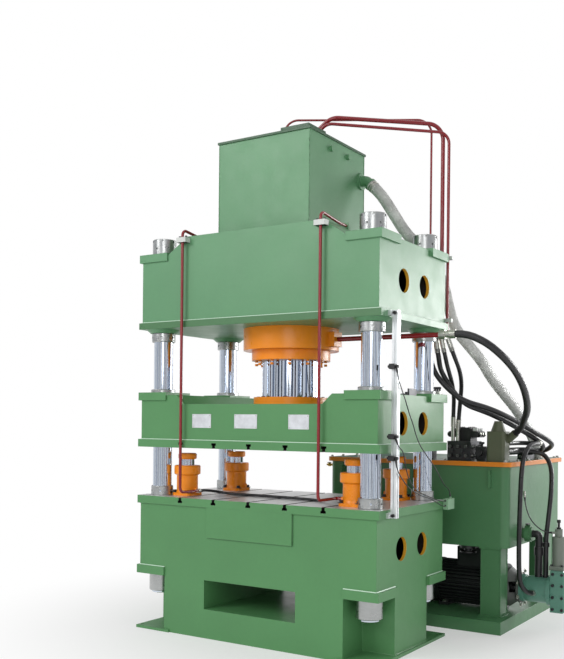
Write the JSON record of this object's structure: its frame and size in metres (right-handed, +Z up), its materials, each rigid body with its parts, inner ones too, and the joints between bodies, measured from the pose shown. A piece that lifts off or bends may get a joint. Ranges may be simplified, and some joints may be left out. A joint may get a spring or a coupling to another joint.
{
  "type": "hydraulic press",
  "caption": "Upright hydraulic press: a slide guided on columns between table and crown, driven by an overhead cylinder, with a separate oil tank and motor pump unit joined by hoses.",
  "frame": {"origin": "on the floor, under the axis of the ram, midway between the columns and the anchor holes", "axes": "+X to the operator's right along the width of the press, +Y to its back, towards the power unit, +Z up along the ram"},
  "size_m": [2.688, 3.001, 3.804],
  "materials": {
    "press_green": "semi-gloss paint",
    "lid_green": "semi-gloss paint",
    "unit_green": "semi-gloss paint",
    "pale_green": "semi-gloss paint",
    "machined_steel": "machined",
    "bright_steel": "turned",
    "dark_steel": "blackened",
    "black_steel": "gloss paint",
    "chrome_steel": "polished",
    "primer_orange": "semi-gloss paint",
    "rim_orange": "semi-gloss paint",
    "plate_white": "satin",
    "rail_aluminium": "satin",
    "black_plastic": "matte",
    "clamp_plastic": "matte",
    "red_paint": "gloss paint",
    "motor_black": "satin paint",
    "grey_iron": "cast",
    "pump_teal": "semi-gloss paint",
    "valve_grey": "semi-gloss paint",
    "olive_paint": "semi-gloss paint",
    "cap_orange": "semi-gloss paint",
    "black_rubber": "matte",
    "clear_hose": "clear"
  },
  "bodies": {
    "frame": {"base_bed": "press_green", "table_plate": "machined_steel", "columns": "chrome_steel", "column_nuts": "bright_steel", "column_collars": "bright_steel", "crown_beam": "press_green", "head_tank": "press_green", "head_tank_lid": "lid_green", "cylinder_barrel": "primer_orange", "cylinder_ring": "primer_orange", "gland_flange": "primer_orange", "buffer_bodies": "primer_orange", "switch_rail": "rail_aluminium", "proximity_switches": "black_plastic", "front_pipes": "red_paint", "pipe_clamps": "clamp_plastic", "rear_pipes": "red_paint", "hose_ends": "bright_steel", "cylinder_pipe": "red_paint", "cable_bracket": "pale_green", "unit_skid": "unit_green", "unit_legs": "unit_green", "oil_tank": "unit_green", "unit_lid": "rim_orange", "motor_body": "motor_black", "fan_cover": "motor_black", "bell_housing": "grey_iron", "pump_body": "pump_teal", "pump_head": "pump_teal", "relief_valve": "valve_grey", "unit_pipes": "black_steel", "side_valve": "unit_green", "valve_manifold": "dark_steel", "lid_valves": "valve_grey", "return_filter": "olive_paint", "return_hose": "black_rubber", "prefill_hose": "clear_hose", "supply_hose_upper": "black_rubber", "supply_hose_lower": "black_rubber", "manifold_hose_left": "black_rubber", "manifold_hose_right": "black_rubber", "pump_hose": "black_rubber", "valve_hose": "black_rubber", "switch_cable_top": "black_rubber", "switch_cable_middle": "black_rubber", "switch_cable_low": "black_rubber", "table_hose": "black_rubber", "level_cable": "black_rubber"},
    "slide": {"slide_beam": "press_green", "guide_bushes": "bright_steel", "name_plates": "plate_white", "slide_striker": "dark_steel", "ram": "chrome_steel", "ram_flange": "primer_orange"},
    "buffer_front_left": {"buffer_rod_fl": "cap_orange"},
    "buffer_front_right": {"buffer_rod_fr": "cap_orange"},
    "buffer_rear_left": {"buffer_rod_rl": "cap_orange"},
    "buffer_rear_right": {"buffer_rod_rr": "cap_orange"},
    "motor_shaft": {"motor_rotor": "dark_steel"},
    "suction_lever": {"side_lever": "black_plastic"}
  },
  "joints": [
    {"name": "slide_travel", "type": "slide", "parent": "frame", "child": "slide", "axis": [0, 0, 1], "range_m": [-0.04, 0.25]},
    {"name": "buffer_front_left_travel", "type": "slide", "parent": "frame", "child": "buffer_front_left", "axis": [0, 0, 1], "range_m": [-0.04, 0], "stiffness_N_per_m": 4000, "springref_m": 0.06},
    {"name": "buffer_front_right_travel", "type": "slide", "parent": "frame", "child": "buffer_front_right", "axis": [0, 0, 1], "range_m": [-0.04, 0], "stiffness_N_per_m": 4000, "springref_m": 0.06},
    {"name": "buffer_rear_left_travel", "type": "slide", "parent": "frame", "child": "buffer_rear_left", "axis": [0, 0, 1], "range_m": [-0.04, 0], "stiffness_N_per_m": 4000, "springref_m": 0.06},
    {"name": "buffer_rear_right_travel", "type": "slide", "parent": "frame", "child": "buffer_rear_right", "axis": [0, 0, 1], "range_m": [-0.04, 0], "stiffness_N_per_m": 4000, "springref_m": 0.06},
    {"name": "motor_shaft_spin", "type": "hinge", "parent": "frame", "child": "motor_shaft", "pos_m": [1.215, 1.3, 0.275], "axis": [1, 0, 0], "continuous": true},
    {"name": "suction_lever_turn", "type": "hinge", "parent": "frame", "child": "suction_lever", "pos_m": [1.375, 1.3, 0.77], "axis": [0, 0, 1], "range_deg": [0, 90]}
  ]
}
